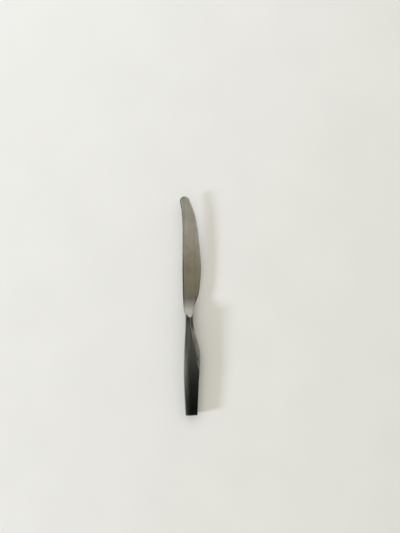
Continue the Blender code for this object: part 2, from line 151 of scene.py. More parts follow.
def linear(hex_colour):
    """An sRGB hex colour as linear red, green and blue."""
    values = [int(hex_colour[i:i + 2], 16) / 255 for i in (1, 3, 5)]
    return tuple(v / 12.92 if v <= 0.04045 else ((v + 0.055) / 1.055) ** 2.4 for v in values)


def metres(name, description, default):
    return bpy.props.FloatProperty(
        name=name, description=description, default=default, unit="LENGTH", precision=5
    )


def degrees(name, description, default):
    return bpy.props.FloatProperty(
        name=name, description=description, default=math.radians(default), subtype="ANGLE"
    )


def watts(name, description, default):
    return bpy.props.FloatProperty(name=name, description=description, default=default, unit="POWER")


def colour(name, description, hex_colour):
    return bpy.props.FloatVectorProperty(
        name=name, description=description, default=linear(hex_colour), subtype="COLOR", min=0, max=1
    )


class HandleSizes(bpy.types.PropertyGroup):
    """Sizes of the hollow handle. Reach is measured from the axis, places from the butt."""

    length: metres("Length", "From the butt to the joint with the blade", 0.0923)
    grip_place: metres("Grip place", "How far the edge side runs straight from the butt", 0.030)
    belly_place: metres("Belly place", "Where the handle is widest towards the edge", 0.054)
    palm_place: metres("Palm place", "Where the handle is widest towards the spine", 0.040)
    facet_end: metres("Facet end", "Where the finger facet has faded into the rounded side", 0.038)
    butt_spine: metres("Butt, spine side", "Reach towards the spine at the butt", 0.0049)
    palm_spine: metres("Palm, spine side", "Reach towards the spine at the palm", 0.00635)
    neck_spine: metres("Neck, spine side", "Reach towards the spine at the neck", 0.0044)
    butt_edge: metres("Butt, edge side", "Reach towards the edge at the butt", 0.0066)
    grip_edge: metres("Grip, edge side", "Reach towards the edge at the grip", 0.0078)
    belly_edge: metres("Belly, edge side", "Reach towards the edge at the belly", 0.0091)
    neck_edge: metres("Neck, edge side", "Reach towards the edge at the neck", 0.00205)
    butt_half: metres("Butt half thickness", "Half thickness on the axis at the butt", 0.0041)
    neck_half: metres("Neck half thickness", "Half thickness on the axis at the neck", 0.0051)
    face_tilt: degrees("Face tilt", "How far each broad face tilts down towards the edge", 5.5)
    butt_round: metres("Butt rounding", "Radius round the flat butt", 0.0010)
    side: metres("Spine side", "Plan width of the rounded side along the spine", 0.0003)
    butt_crown: metres("Butt crown", "Plan width of the face's crown along the spine at the butt", 0.0066)
    neck_crown: metres("Neck crown", "Plan width of the face's crown along the spine at the neck", 0.0036)
    butt_crown_tilt: degrees("Butt crown tilt", "How far the crown turns down to the spine at the butt", 20)
    palm_crown_tilt: degrees("Palm crown tilt", "How far the crown turns down to the spine at the palm", 25)
    neck_crown_tilt: degrees("Neck crown tilt", "How far the crown turns down to the spine at the neck", 27)
    lip: metres("Edge side", "Plan width of the rounded side along the edge", 0.0003)
    plain_facet: metres("Plain facet", "Plan width of the facet where it has faded out", 0.0002)
    facet_width: metres("Facet width", "Plan width of the finger facet at the belly", 0.0045)
    neck_facet_width: metres("Neck facet width", "Plan width of the facet at the neck", 0.0017)
    facet_tilt: degrees("Facet tilt", "How far the facet turns down to the edge at the belly", 27)
    neck_facet_tilt: degrees("Neck facet tilt", "How far the facet turns down to the edge at the neck", 40)
    ridge: metres("Ridge softness", "How far the ridges are worn round", 0.0003)
    wall: metres("Wall", "Thickness of the pressed halves", 0.0009)
    seam: metres("Seam", "Hairline left between the two halves", 0.00006)
    rim: metres("Rim softness", "Rounding of the halves' rims", 0.00012)
    fit: metres("Fit", "Clearance between pieces that touch", 0.0003)
    braze: metres("Braze radius", "Radius of the braze bead", 0.0003)
    braze_bend: metres("Braze bend", "Bend of the bead at the corners of the butt", 0.0018)
    braze_pitch: metres("Braze pitch", "Spacing of the lumps along the bead", 0.0016)


class BladeSizes(bpy.types.PropertyGroup):
    """Sizes of the blade, its bolster and its tang. Places are measured from the joint."""

    length: metres("Length", "From the joint to the tip", 0.1129)
    tip_radius: metres("Tip radius", "Radius of the round tip", 0.0045)
    tip_lean: metres("Tip lean", "Reach of the tip's centre towards the spine", 0.0053)
    tip_spine_join: degrees("Tip join, spine", "Where the round tip takes over from the spine", -10)
    tip_edge_join: degrees("Tip join, edge", "Where the round tip takes over from the edge", 18)
    root_thickness: metres("Root thickness", "Blade thickness along the spine at the root", 0.0023)
    tip_thickness: metres("Tip thickness", "Blade thickness along the spine at the tip", 0.0012)
    spine_round: metres("Spine rounding", "Rounding of the blade's spine", 0.0006)
    bevel: metres("Bevel", "Width of the ground edge", 0.0011)
    bevel_thickness: metres("Bevel thickness", "Blade thickness where the ground edge starts", 0.0007)
    edge_thickness: metres("Edge thickness", "Thickness of the cutting edge", 0.00025)
    edge_lip: metres("Edge lip", "Rounding of the cutting edge", 0.00006)
    scoop: metres("Scoop", "Length of the hollow between blade and neck", 0.0175)
    crease: metres("Crease softness", "How far the hollow's rim is worn round", 0.0002)
    root_round: metres("Root rounding", "Rounding of the bolster's rim at the joint", 0.00015)
    spigot: metres("Spigot", "Length of the plug inside the handle's mouth", 0.0080)
    spigot_taper: metres("Spigot taper", "How far the plug draws in", 0.0005)
    tang: metres("Tang", "Length of the tang", 0.0550)
    tang_offset: metres("Tang offset", "Reach of the tang's centre towards the edge", -0.0007)
    tang_width: metres("Tang width", "Width of the tang at the spigot", 0.0024)
    tang_height: metres("Tang height", "Height of the tang at the spigot", 0.0046)
    tang_end_width: metres("Tang end width", "Width of the tang at its end", 0.0022)
    tang_end_height: metres("Tang end height", "Height of the tang at its end", 0.0030)
    tang_corner: metres("Tang corner", "Corner of the tang", 0.0004)


class KnifeFinish(bpy.types.PropertyGroup):
    """Colours of the knife's metals and cement."""

    blade_steel: colour("Blade steel", "Satin steel of the blade", "#BDB8AE")
    handle_steel: colour("Handle steel", "Satin steel of the handle", "#D0D2CE")
    stain: colour("Stain", "Faint brown water stains on the steel", "#8F8472")
    # Polish brightens the rubbed ridges, and also serves there as a painted highlight
    polish_and_highlight: colour("Polish", "Steel rubbed bright along its edges", "#E2E1DC")
    bare: colour("Bare", "Tint of steel that is free of tarnish", "#FFFFFF")
    # The neck's tints are tarnish and painted shade, darker towards the joint
    neck_shade_and_tarnish: colour("Neck tarnish", "Tint of the tarnish at the handle's neck", "#CACAC8")
    joint_shade_and_tarnish: colour("Joint tarnish", "Tint of the tarnish beside the joint", "#787876")
    root_tarnish: colour("Root tarnish", "Tint of the tarnish near the blade's root", "#EFECDE")
    hollow_tarnish: colour("Hollow tarnish", "Tint of the hollows in the bolster", "#E7EAF1")
    tip_tarnish: colour("Tip tarnish", "Tint of the blade's end", "#ECF0F2")
    ground: colour("Ground edge", "Steel of the ground cutting edge", "#BAB5A9")
    braze: colour("Braze", "Silver brazing alloy", "#C9C0A9")
    cement: colour("Cement", "Filled resin round the tang", "#A79F92")
    cement_grain: colour("Cement grain", "Mineral filler in the resin", "#7D766B")


class StageSettings(bpy.types.PropertyGroup):
    """Table, light and camera."""

    table: colour("Table", "Pale matte table top", "#EBEAE5")
    room: colour("Room", "Colour of the light from the room", "#FFFCF1")
    room_level: bpy.props.FloatProperty(
        name="Room level", description="Brightness of the pale room", default=0.73, min=0
    )
    dim_lean: degrees("Dim lean", "How far the dim part of the room leans from overhead to the butt", 23.8)
    dim_side: degrees("Dim side", "How far the dim part of the room leans towards the edge side", 20)
    dim_depth: degrees("Dim depth", "Reach of the dim part along the knife", 24)
    dim_width: degrees("Dim width", "Reach of the dim part across the knife", 70)
    dim_band: degrees("Dim band", "Reach along the knife of the band that is dim all the way across", 2.0)
    glow: bpy.props.FloatProperty(
        name="Glow", description="How much brighter the room is beyond the tip", default=0.55, min=0
    )
    glow_rise: degrees("Glow rise", "How far from overhead towards the tip the room is at its brightest", 35)
    lamp: colour("Lamp", "Colour of the daylight from the left", "#E6EDFF")
    key_power: watts("Key power", "Power of the small light that casts the crisp shadow", 44)
    key_rise: degrees("Key rise", "Height of the small light above the table", 16.3)
    key_turn: degrees("Key turn", "How far the small light stands towards the butt", 13)
    key_distance: metres("Key distance", "How far the small light stands from the knife", 2.2)
    key_width: metres("Key width", "Width of the small light", 0.5)
    key_height: metres("Key height", "Height of the small light", 0.33)
    window_power: watts("Window power", "Power of the broad light that casts the soft shadow", 1.2)
    window_rise: degrees("Window rise", "Height of the broad light above the table", 32)
    window_turn: degrees("Window turn", "How far the broad light stands towards the butt", -75)
    window_distance: metres("Window distance", "How far the broad light stands from the knife", 0.9)
    window_width: metres("Window width", "Width of the broad light", 0.5)
    window_height: metres("Window height", "Height of the broad light", 0.4)
    camera: bpy.props.FloatVectorProperty(
        name="Camera", description="Where the camera stands, looking straight down",
        default=(0.00694, 0.09334, 0.38035), subtype="TRANSLATION", precision=5,
    )
    lens: bpy.props.FloatProperty(name="Lens", description="Focal length", default=27, unit="CAMERA")
    table_size: metres("Table size", "Half the width of the table top", 3)


def mix(start, end, share):
    return start + (end - start) * share


def spread(start, end, steps):
    """Evenly spaced places from start to end, with both ends."""
    return [mix(start, end, i / steps) for i in range(steps + 1)]


def smooth(places, values, place):
    """The value at a place on a smooth line through the values, never past them."""
    slopes = [(values[i + 1] - values[i]) / (places[i + 1] - places[i]) for i in range(len(places) - 1)]
    turns = [slopes[0]]
    for before, after in zip(slopes, slopes[1:]):
        turns.append(2 * before * after / (before + after) if before * after > 0 else 0.0)
    turns.append(slopes[-1])
    place = min(max(place, places[0]), places[-1])
    i = max(k for k in range(len(slopes)) if places[k] <= place)
    run = places[i + 1] - places[i]
    t = (place - places[i]) / run
    level = values[i] * (1 + 2 * t) * (1 - t) ** 2 + values[i + 1] * t * t * (3 - 2 * t)
    return level + run * t * (1 - t) * (turns[i] * (1 - t) - turns[i + 1] * t)


class Section(NamedTuple):
    """Half of a cross section, above the middle plane.

    From the spine it runs up a rounded side, over a crown that turns into the flat face, over the crest
    into a facet, and down a rounded side to the edge. Each curve leaves and arrives along two lines, and
    the section keeps the height where they meet.
    """

    spine: float       # reach from the axis towards the spine
    edge: float        # reach from the axis towards the edge
    side: float        # plan width of the spine side
    wall: float        # where the lines of the spine side meet
    shoulder: float    # half thickness between the spine side and the crown
    crown: float       # plan width from the spine to the end of the crown
    brow: float        # where the lines of the crown meet
    top: float         # half thickness between the crown and the flat face
    facet: float       # plan width from the crest to the edge
    crest: float       # half thickness between the flat face and the facet
    swell: float       # where the lines of the facet meet
    foot: float        # half thickness between the facet and the edge side
    lip: float         # plan width of the edge side

    def face_slope(self):
        return (self.crest - self.top) / (self.spine + self.edge - self.crown - self.facet)


def on_curve(start, corner, end, t):
    """A point on a curve from start to end that leaves and arrives along the lines to the corner."""
    return mix(mix(start, corner, t), mix(corner, end, t), t)


def rise_through_zero(square, single, constant):
    """The share t, up to 1, where square * t^2 + single * t + constant rises through zero."""
    root = math.sqrt(max(single * single - 4 * square * constant, 0))
    return min(-2 * constant / (single + root), 1)


def sink(depth, rise, run):
    """How far down a sloping surface lies at an even depth below another."""
    return depth * math.hypot(rise, run) / run


def inset(section, depth):
    """The section drawn in by an even depth."""
    if depth == 0:
        return section
    slope = section.face_slope()
    side = max(section.side - depth, LEAST)
    lip = max(section.lip - depth, LEAST)
    crown = max(section.crown - depth, side + LEAST)
    facet = max(section.facet - depth, lip + LEAST)
    past_crown = crown + depth - section.crown
    before_crest = facet + depth - section.facet
    top = section.top + slope * past_crown - sink(depth, slope, 1)
    crest = section.crest - slope * before_crest - sink(depth, slope, 1)
    # The new crown starts part of the way along the old one
    half_crown = (section.crown - section.side) / 2
    start = min((side + depth - section.side) / half_crown / 2, 1)
    rise = mix(section.brow - section.shoulder, section.top - section.brow, start)
    shoulder = on_curve(section.shoulder, section.brow, section.top, start) - sink(depth, rise, half_crown)
    brow = top - (section.top - section.brow) / half_crown * (crown - side) / 2
    wall = shoulder - 2 * side * (brow - shoulder) / (crown - side)
    # The new facet ends part of the way along the old one
    half_facet = (section.facet - section.lip) / 2
    end = max(1 - (lip + depth - section.lip) / half_facet / 2, 0)
    fall = mix(section.swell - section.crest, section.foot - section.swell, end)
    foot = on_curve(section.crest, section.swell, section.foot, end) - sink(depth, fall, half_facet)
    foot = min(foot, crest + slope * (facet - lip))
    return Section(
        section.spine - depth,
        section.edge - depth,
        side=side,
        wall=max(wall, shoulder / 2),
        shoulder=shoulder,
        crown=crown,
        brow=brow,
        top=top,
        facet=facet,
        crest=crest,
        swell=(crest + foot) / 2,
        foot=foot,
        lip=lip,
    )


def cut_down(section, height, slope):
    """The section with everything taken off above a line of a height on the axis and a slope."""
    at_spine = height - slope * section.spine
    at_side = at_spine + slope * section.side
    if at_side < section.shoulder:
        square = section.shoulder - 2 * section.wall - slope * section.side
        t = rise_through_zero(square, 2 * section.wall, -at_spine)
        side = section.side * t * t
        wall = section.wall * t
        shoulder = at_spine + slope * side
        crown = side + LEAST
        brow = shoulder + slope * LEAST / 2
    else:
        square = section.shoulder - 2 * section.brow + section.top
        single = 2 * (section.brow - section.shoulder) - slope * (section.crown - section.side)
        t = rise_through_zero(square, single, section.shoulder - at_side)
        side, wall, shoulder = section.side, section.wall, section.shoulder
        crown = max(mix(section.side, section.crown, t), side + LEAST)
        brow = mix(section.shoulder, section.brow, t)
    at_edge = height + slope * section.edge
    above_foot = max(at_edge - slope * section.facet - section.foot, 0)
    facet = mix(section.lip + LEAST, section.facet, min(above_foot / (section.crest - section.foot), 1))
    crest = at_edge - slope * facet
    foot = min(section.foot, crest * MOST_FOOT)
    return section._replace(
        side=side,
        wall=wall,
        shoulder=shoulder,
        crown=crown,
        brow=brow,
        top=at_spine + slope * crown,
        facet=facet,
        crest=crest,
        swell=(crest + foot) / 2,
        foot=foot,
    )


class Knife:
    """The knife's cross sections along its length, worked out from its sizes."""

    def __init__(self, scene):
        self.handle = scene.knife_handle
        self.blade = scene.knife_blade
        self.joint = self.handle.length
        self.face_slope = (self.handle.neck_half - self.handle.butt_half) / self.joint
        self.tilt_slope = math.tan(self.handle.face_tilt)
        self.tip_centre = self.joint + self.blade.length - self.blade.tip_radius
        self.spigot_end = self.joint - self.blade.spigot
        self.root = self.joint + self.handle.fit / 2
        self.mouth = self.joint - self.handle.fit / 2

    def face_height(self, x, y):
        """Half thickness of the handle under its flat broad face."""
        return self.handle.butt_half + self.face_slope * y - self.tilt_slope * x

    def handle_section(self, y):
        """The handle's outside at a place along it."""
        h = self.handle
        edge_places = (0, h.grip_place, h.belly_place, self.joint, self.joint + self.blade.spigot)
        edge = smooth(edge_places, (h.butt_edge, h.grip_edge, h.belly_edge, h.neck_edge, h.neck_edge), y)
        spine = smooth((0, h.palm_place, self.joint), (h.butt_spine, h.palm_spine, h.neck_spine), y)
        return self.handle_profile(spine, edge, y)

    def handle_profile(self, spine, edge, y):
        """The handle's outside at a place along it, over given reaches."""
        h = self.handle
        tilts = (h.butt_crown_tilt, h.palm_crown_tilt, h.neck_crown_tilt)
        crown_slope = math.tan(smooth((0, h.palm_place, self.joint), tilts, y)) - self.tilt_slope
        crown = mix(h.butt_crown, h.neck_crown, y / self.joint)
        half_crown = (crown - h.side) / 2
        top = self.face_height(crown - spine, y)
        # Crown and facet roll out of the face at the belly and turn into flats towards the neck
        towards_neck = max((y - h.belly_place) / (self.joint - h.belly_place), 0)
        brow = top + mix(self.tilt_slope, -crown_slope, towards_neck) * half_crown
        shoulder = brow - crown_slope * half_crown
        facet_places = (0, h.facet_end, h.belly_place, self.joint)
        width = smooth(facet_places, (h.plain_facet, h.plain_facet, h.facet_width, h.neck_facet_width), y)
        facet_slope = math.tan(mix(h.facet_tilt, h.neck_facet_tilt, towards_neck))
        crest = self.face_height(edge - h.lip - width, y)
        swell = crest - (self.tilt_slope + facet_slope * towards_neck) * width / 2
        foot = swell - (self.tilt_slope + facet_slope) * width / 2
        return Section(
            spine,
            edge,
            side=h.side,
            wall=shoulder - crown_slope * h.side,
            shoulder=shoulder,
            crown=crown,
            brow=brow,
            top=top,
            facet=h.lip + width,
            crest=crest,
            swell=swell,
            foot=foot,
            lip=h.lip,
        )

    def blade_reach(self, y):
        """How far the blade reaches from the axis towards the spine and the edge."""
        b = self.blade
        knots = ((0, self.handle.neck_spine, self.handle.neck_edge), *BLADE_LINE)
        reaches = []
        for column, lean, join in ((1, b.tip_lean, b.tip_spine_join), (2, -b.tip_lean, b.tip_edge_join)):
            join_place = self.tip_centre + b.tip_radius * math.sin(join)
            if y > join_place:
                reaches.append(lean + math.sqrt(max(b.tip_radius**2 - (y - self.tip_centre) ** 2, 0)))
            else:
                places = [self.joint + knot[0] for knot in knots] + [join_place]
                values = [knot[column] for knot in knots] + [lean + b.tip_radius * math.cos(join)]
                reaches.append(smooth(places, values, y))
        return reaches

    def scoop_share(self, y):
        """How far the hollow has risen from the blade's face, 0, to the neck, 1, along a round arc."""
        rise = self.handle.neck_half - self.blade.root_thickness / 2
        radius = (self.blade.scoop**2 + rise**2) / (2 * rise)
        run = max(self.blade.scoop - (y - self.joint), 0)
        return (radius - math.sqrt(radius**2 - run**2)) / rise

    def tip_share(self, y):
        """Share of the blade's thickness left where the very tip rounds over."""
        left = min((self.joint + self.blade.length - y) / self.blade.spine_round, 1)
        return math.sqrt(1 - (1 - left) ** 2)

    def wedge_section(self, y, spine, edge):
        """The blade's own section: a wedge with a rounded spine and a ground edge."""
        b = self.blade
        most = TIP_SHARE * (spine + edge)
        left = self.tip_share(y)
        half = left * mix(b.root_thickness, b.tip_thickness, (y - self.joint) / b.length) / 2
        crest = left * b.bevel_thickness / 2
        foot = left * b.edge_thickness / 2
        rounding = min(b.spine_round, most)
        bevel = min(b.bevel, most)
        fall = (half - crest) * rounding / (spine + edge - rounding - bevel)
        return Section(
            spine,
            edge,
            side=rounding,
            wall=half,
            shoulder=half,
            crown=2 * rounding,
            brow=half - fall / 2,
            top=half - fall,
            facet=bevel,
            crest=crest,
            swell=(crest + foot) / 2,
            foot=foot,
            lip=min(b.edge_lip, most / 2),
        )

    def blade_section(self, y):
        """The blade's wedge, growing at the root into the neck's section, cut down by the hollow."""
        spine, edge = self.blade_reach(y)
        wedge = self.wedge_section(y, spine, edge)
        share = self.scoop_share(y)
        slope = mix(wedge.face_slope(), -self.tilt_slope, share)
        wedge_height = wedge.top + wedge.face_slope() * (spine - wedge.crown)
        height = mix(wedge_height, self.handle.neck_half, share)
        bolster = cut_down(self.handle_profile(spine, edge, self.joint), height, slope)
        ease = 1 - (1 - share) ** BOLSTER_EASE
        merged = Section(*(mix(thin, thick, ease) for thin, thick in zip(wedge, bolster)))

        def hollow_height(from_spine):
            return height + slope * (from_spine - spine)

        # The crown hangs below the hollow's line as far as the bolster's does
        under_side = hollow_height(bolster.side) - bolster.shoulder
        under_brow = hollow_height((bolster.side + bolster.crown) / 2) - bolster.brow
        return merged._replace(
            shoulder=hollow_height(merged.side) - ease * under_side,
            brow=hollow_height((merged.side + merged.crown) / 2) - ease * under_brow,
            top=hollow_height(merged.crown),
            crest=hollow_height(spine + edge - merged.facet),
        )

    def tang_section(self, y):
        b = self.blade
        share = (self.joint - y) / b.tang
        half_width = mix(b.tang_width, b.tang_end_width, share) / 2
        half_height = mix(b.tang_height, b.tang_end_height, share) / 2
        return Section(
            half_width - b.tang_offset,
            half_width + b.tang_offset,
            side=b.tang_corner,
            wall=half_height,
            shoulder=half_height,
            crown=2 * b.tang_corner,
            brow=half_height,
            top=half_height,
            facet=2 * b.tang_corner,
            crest=half_height,
            swell=half_height,
            foot=half_height,
            lip=b.tang_corner,
        )

    def laid_down(self):
        """Turns the knife so that the handle's lower broad face lies flat, its middle on the origin."""
        up = Vector((-self.tilt_slope, self.face_slope, 1)).normalized()
        across = Vector((0, 1, 0)).cross(up).normalized()
        turn = Matrix((across, up.cross(across), up))
        y = self.joint / 2
        section = self.handle_section(y)
        x = (section.edge - section.facet + section.crown - section.spine) / 2
        return turn.to_4x4() @ Matrix.Translation((-x, -y, self.face_height(x, y)))

    def handle_skin(self, depth):
        """Outlines at a depth below one half's outside, from the flat butt to the mouth."""
        radius = max(self.handle.butt_round - depth, self.handle.fit)
        outlines = []
        for turn in spread(0, QUARTER, BUTT_STATIONS):
            y = depth + radius * (1 - math.cos(turn))
            section = inset(self.handle_section(y), depth + radius * (1 - math.sin(turn)))
            outlines.append((y, upper_outline(section, self.handle.ridge)))
        for y in spread(depth + radius, self.mouth, HANDLE_STATIONS)[1:]:
            section = inset(self.handle_section(y), depth)
            below = self.mouth - y
            # Down from the joint the ridge is rubbed round and bright, the brightness partly a painted
            # highlight
            wear = max(1 - below / WEAR_AND_HIGHLIGHT_REACH, 0)
            softness = self.handle.ridge * (1 + wear)
            # Painted shade darkens the crown and the facet near the joint
            crown_shade = smooth(*CROWN_PAINTED_SHADE, below)
            facet_shade = smooth(*FACET_PAINTED_SHADE, below)
            outlines.append((y, upper_outline(section, softness, math.sqrt(wear), crown_shade, facet_shade)))
        return outlines

    def blade_rings(self):
        """Outlines of the forging from the tip back: blade, bolster, spigot and tang."""
        b = self.blade
        edge_join = self.tip_centre + b.tip_radius * math.sin(b.tip_edge_join)
        scoop_end = self.joint + b.scoop
        places = [self.tip_centre + b.tip_radius * math.sin(turn)
                  for turn in spread(TIP_LAST, b.tip_edge_join, TIP_STATIONS)[:-1]]
        places += spread(edge_join, scoop_end, BLADE_STATIONS)[:-1]
        places += spread(scoop_end, self.root + b.root_round, SCOOP_STATIONS)[:-1]
        sections = [(y, self.blade_section(y)) for y in places]
        for turn in spread(0, QUARTER, ROOT_STATIONS):
            y = self.root + b.root_round * (1 - math.sin(turn))
            sections.append((y, inset(self.blade_section(y), b.root_round * (1 - math.cos(turn)))))
        plug = inset(self.handle_section(self.joint), self.handle.wall + self.handle.fit)
        sections += [(self.root, plug), (self.spigot_end, inset(plug, b.spigot_taper))]
        sections += [(y, self.tang_section(y)) for y in (self.spigot_end, self.joint - b.tang)]
        outlines = []
        for y, section in sections:
            # Painted shade darkens the spine near the root and the facet beside the hollow
            spine_shade = smooth(*SPINE_PAINTED_SHADE, y - self.joint)
            facet_shade = min(HOLLOW_PAINTED_SHADE * self.scoop_share(y), 1) if y > self.joint else 0
            outlines.append((y, upper_outline(section, b.crease, 0, spine_shade, facet_shade)))
        return outlines

    def braze_path(self):
        """Points along the inside of the seam: down the spine side, round the butt, up the edge side."""
        h = self.handle
        depth = h.wall + h.fit + h.braze
        bend_end = depth + h.braze_bend
        places = spread(self.spigot_end - 2 * h.fit - h.braze, bend_end, HANDLE_STATIONS)
        spine_side = [(-inset(self.handle_section(y), depth).spine, y) for y in places]
        edge_side = [(inset(self.handle_section(y), depth).edge, y) for y in reversed(places)]
        bend = []
        for turn in spread(0, QUARTER, BUTT_STATIONS):
            bend.append((h.braze_bend * (1 - math.cos(turn)), bend_end - h.braze_bend * math.sin(turn)))
        spine_bend = [(spine_side[-1][0] + x, y) for x, y in bend[1:]]
        edge_bend = [(edge_side[0][0] - x, y) for x, y in reversed(bend[1:])]
        return spine_side + spine_bend + edge_bend + edge_side


class Point(NamedTuple):
    """A point of a cross section, with what the finish needs to know about it."""

    x: float
    z: float
    wear: float = 0         # how far rubbing and a painted highlight brighten it, up to 1
    dull: float = 0         # how far painted shade darkens it, up to 1
    past_crest: float = 0   # 1 from the crest on, towards the edge


def bent(start, corner, end, steps):
    """Points on a curve from start to end that leaves and arrives along the lines to the corner."""
    return [on_curve(start, corner, end, t) for t in spread(0, 1, steps)]


def upper_outline(section, softness, wear=0, crown_shade=0, facet_shade=0):
    """Points over the top of a section, from the spine side to the edge side.

    Softness rounds the crest, the next argument says how far rubbing and a painted highlight brighten it, and
    the last two how far painted shade darkens the crown and the facet.
    """
    spine, edge = section.spine, section.edge
    shoulder = Vector((section.side - spine, section.shoulder))
    brow = Vector(((section.side + section.crown) / 2 - spine, section.brow))
    top = Vector((section.crown - spine, section.top))
    crest = Vector((edge - section.facet, section.crest))
    swell = Vector((edge - (section.facet + section.lip) / 2, section.swell))
    foot = Vector((edge - section.lip, section.foot))
    fall = (swell.y - foot.y) / (foot.x - swell.x)
    knee = Vector((edge, max(foot.y - fall * section.lip, foot.y / 2)))
    side = bent(Vector((-spine, 0)), Vector((-spine, section.wall)), shoulder, SIDE_STEPS)
    crown = bent(shoulder, brow, top, CROWN_STEPS)
    before_crest = mix(crest, top, min(softness / (top - crest).length, MOST_SOFT))
    past_crest = min(softness / (swell - crest).length, 1) * MOST_SOFT
    facet = [on_curve(crest, swell, foot, t) for t in spread(past_crest, 1, FACET_STEPS)]
    face = spread(top, before_crest, FACE_STEPS)
    ridge = bent(before_crest, crest, facet[0], CORNER_STEPS)
    edge_side = bent(foot, knee, Vector((edge, 0)), SIDE_STEPS)
    # Painted shade darkens the narrow sides, the start of the crown and the facet
    points = [Point(*p, dull=SIDE_PAINTED_SHADE) for p in side[:-1]]
    for i, p in enumerate(crown[:-1]):
        points.append(Point(*p, dull=crown_shade * (1 - (i / CROWN_STEPS) ** CROWN_SHADE_FADE)))
    points += [Point(*p) for p in face[:-1] + ridge[:1]]
    # Rubbing brightens the ridge, partly as a painted highlight
    points += [Point(*p, wear=wear) for p in ridge[1:-1]]
    points += [Point(*p, dull=facet_shade, past_crest=1) for p in facet[:-1]]
    points += [Point(*p, dull=max(SIDE_PAINTED_SHADE, facet_shade), past_crest=1) for p in edge_side]
    return points


def mirrored(points):
    return [point._replace(z=-point.z) for point in points]


def ring(outline):
    """A whole section's points, from the outline of its upper half."""
    return outline + mirrored(reversed(outline[1:-1]))


def start_skin(rows, closed):
    """A surface over (place, points) rows, capped at both ends, and its points row by row.

    Its UV map runs across the piece in U and along it in V, in metres.
    """
    surface = bmesh.new()
    layers = {name: surface.verts.layers.float.new(name) for name in ("wear", "dull", "past_crest")}
    brushing = surface.loops.layers.uv.new("brushing")
    grid, across = [], []
    for y, points in rows:
        row = []
        for point in points:
            vert = surface.verts.new((point.x, y, point.z))
            for name, layer in layers.items():
                vert[layer] = getattr(point, name)
            row.append(vert)
        grid.append(row)
        run = [0]
        for vert, following in zip(row, row[1:] + row[:1]):
            run.append(run[-1] + (following.co - vert.co).length)
        across.append(run)
    columns = len(grid[0])
    for r in range(len(grid) - 1):
        for c in range(columns if closed else columns - 1):
            corners = ((r, c), (r, c + 1), (r + 1, c + 1), (r + 1, c))
            face = surface.faces.new([grid[i][j % columns] for i, j in corners])
            for loop, (i, j) in zip(face.loops, corners):
                loop[brushing].uv = (across[i][j], loop.vert.co.y)
    for row in (grid[0], grid[-1]):
        lay_flat(surface.faces.new(row), brushing)
    return surface, grid


def lay_flat(face, brushing):
    """Gives an end or a rim its own flat stretch of the UV map."""
    for loop in face.loops:
        loop[brushing].uv = (loop.vert.co.x, loop.vert.co.y + loop.vert.co.z)


def end_skin(surface, name, to_world):
    """The finished surface as a mesh in its place."""
    surface.transform(to_world)
    bmesh.ops.recalc_face_normals(surface, faces=surface.faces)
    mesh = bpy.data.meshes.new(name)
    surface.to_mesh(mesh)
    surface.free()
    mesh.shade_smooth()
    mesh.set_sharp_from_angle(angle=SHARP)
    return mesh


def half_shell(name, knife, side):
    """One pressed half of the handle, 1 for the upper and -1 for the lower one."""
    h = knife.handle
    rows = knife.handle_skin(0)
    inner = knife.handle_skin(h.wall)
    stations = len(rows)
    rows += reversed(inner)
    clear = []
    for y, points in rows:
        clear.append((y, [p._replace(z=side * max(p.z, h.seam / 2)) for p in points]))
    surface, grid = start_skin(clear, closed=False)
    brushing = surface.loops.layers.uv["brushing"]
    for column in (0, -1):
        for i in range(stations - 1):
            rim = (grid[i], grid[i + 1], grid[-2 - i], grid[-1 - i])
            lay_flat(surface.faces.new([row[column] for row in rim]), brushing)
    lay_flat(surface.faces.new((grid[0][0], grid[0][-1], grid[-1][-1], grid[-1][0])), brushing)
    return end_skin(surface, name, knife.laid_down())


def evaluated_mesh(obj):
    """What an object's modifiers make of it, as a plain mesh. The object itself goes."""
    bpy.context.scene.collection.objects.link(obj)
    graph = bpy.context.evaluated_depsgraph_get()
    mesh = bpy.data.meshes.new_from_object(obj.evaluated_get(graph))
    bpy.data.objects.remove(obj)
    return mesh


def soft_rims(mesh, width):
    """The mesh with its rims rounded."""
    obj = bpy.data.objects.new(mesh.name, mesh)
    bevel = obj.modifiers.new("rims", "BEVEL")
    bevel.width = width
    bevel.segments = RIM_SEGMENTS
    bevel.limit_method = "ANGLE"
    bevel.angle_limit = RIM_ANGLE
    return evaluated_mesh(obj)


def add_piece(name, mesh, materials, node):
    """A finished piece that rides on the knife and stands for its CAD node."""
    mesh.materials.clear()
    for material in materials:
        mesh.materials.append(material)
    piece = bpy.data.objects.new(name, mesh)
    bpy.context.scene.collection.objects.link(piece)
    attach(piece, "root")
    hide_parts(node)


def feed(node, inputs):
    """Sets a node's inputs, or links them to sockets. A node among them stands for its first output."""
    for name, value in inputs.items():
        if isinstance(value, bpy.types.Node):
            value = value.outputs[0]
        if isinstance(value, bpy.types.NodeSocket):
            node.id_data.links.new(value, node.inputs[name])
        else:
            node.inputs[name].default_value = value


def add_node(tree, kind, inputs=None, **settings):
    """A node with its settings and its inputs."""
    node = tree.nodes.new(kind)
    for name, value in settings.items():
        setattr(node, name, value)
    feed(node, inputs or {})
    return node


def new_material(name):
    material = bpy.data.materials.new(name)
    material.use_nodes = True
    return material, material.node_tree, material.node_tree.nodes["Principled BSDF"]


def drawn_out(tree, place, width, run, turn=0):
    """Random marks of a width and a run along the knife, turned aside by an angle in degrees."""
    stretch = {"Rotation": (0, 0, math.radians(turn)), "Scale": (1 / width, 1 / run, 1 / width)}
    marks = add_node(tree, "ShaderNodeMapping", {"Vector": place, **stretch})
    return add_node(
        tree, "ShaderNodeTexNoise", {"Vector": marks, "Scale": 1.0, "Detail": 2.0, "Roughness": 0.6}
    )


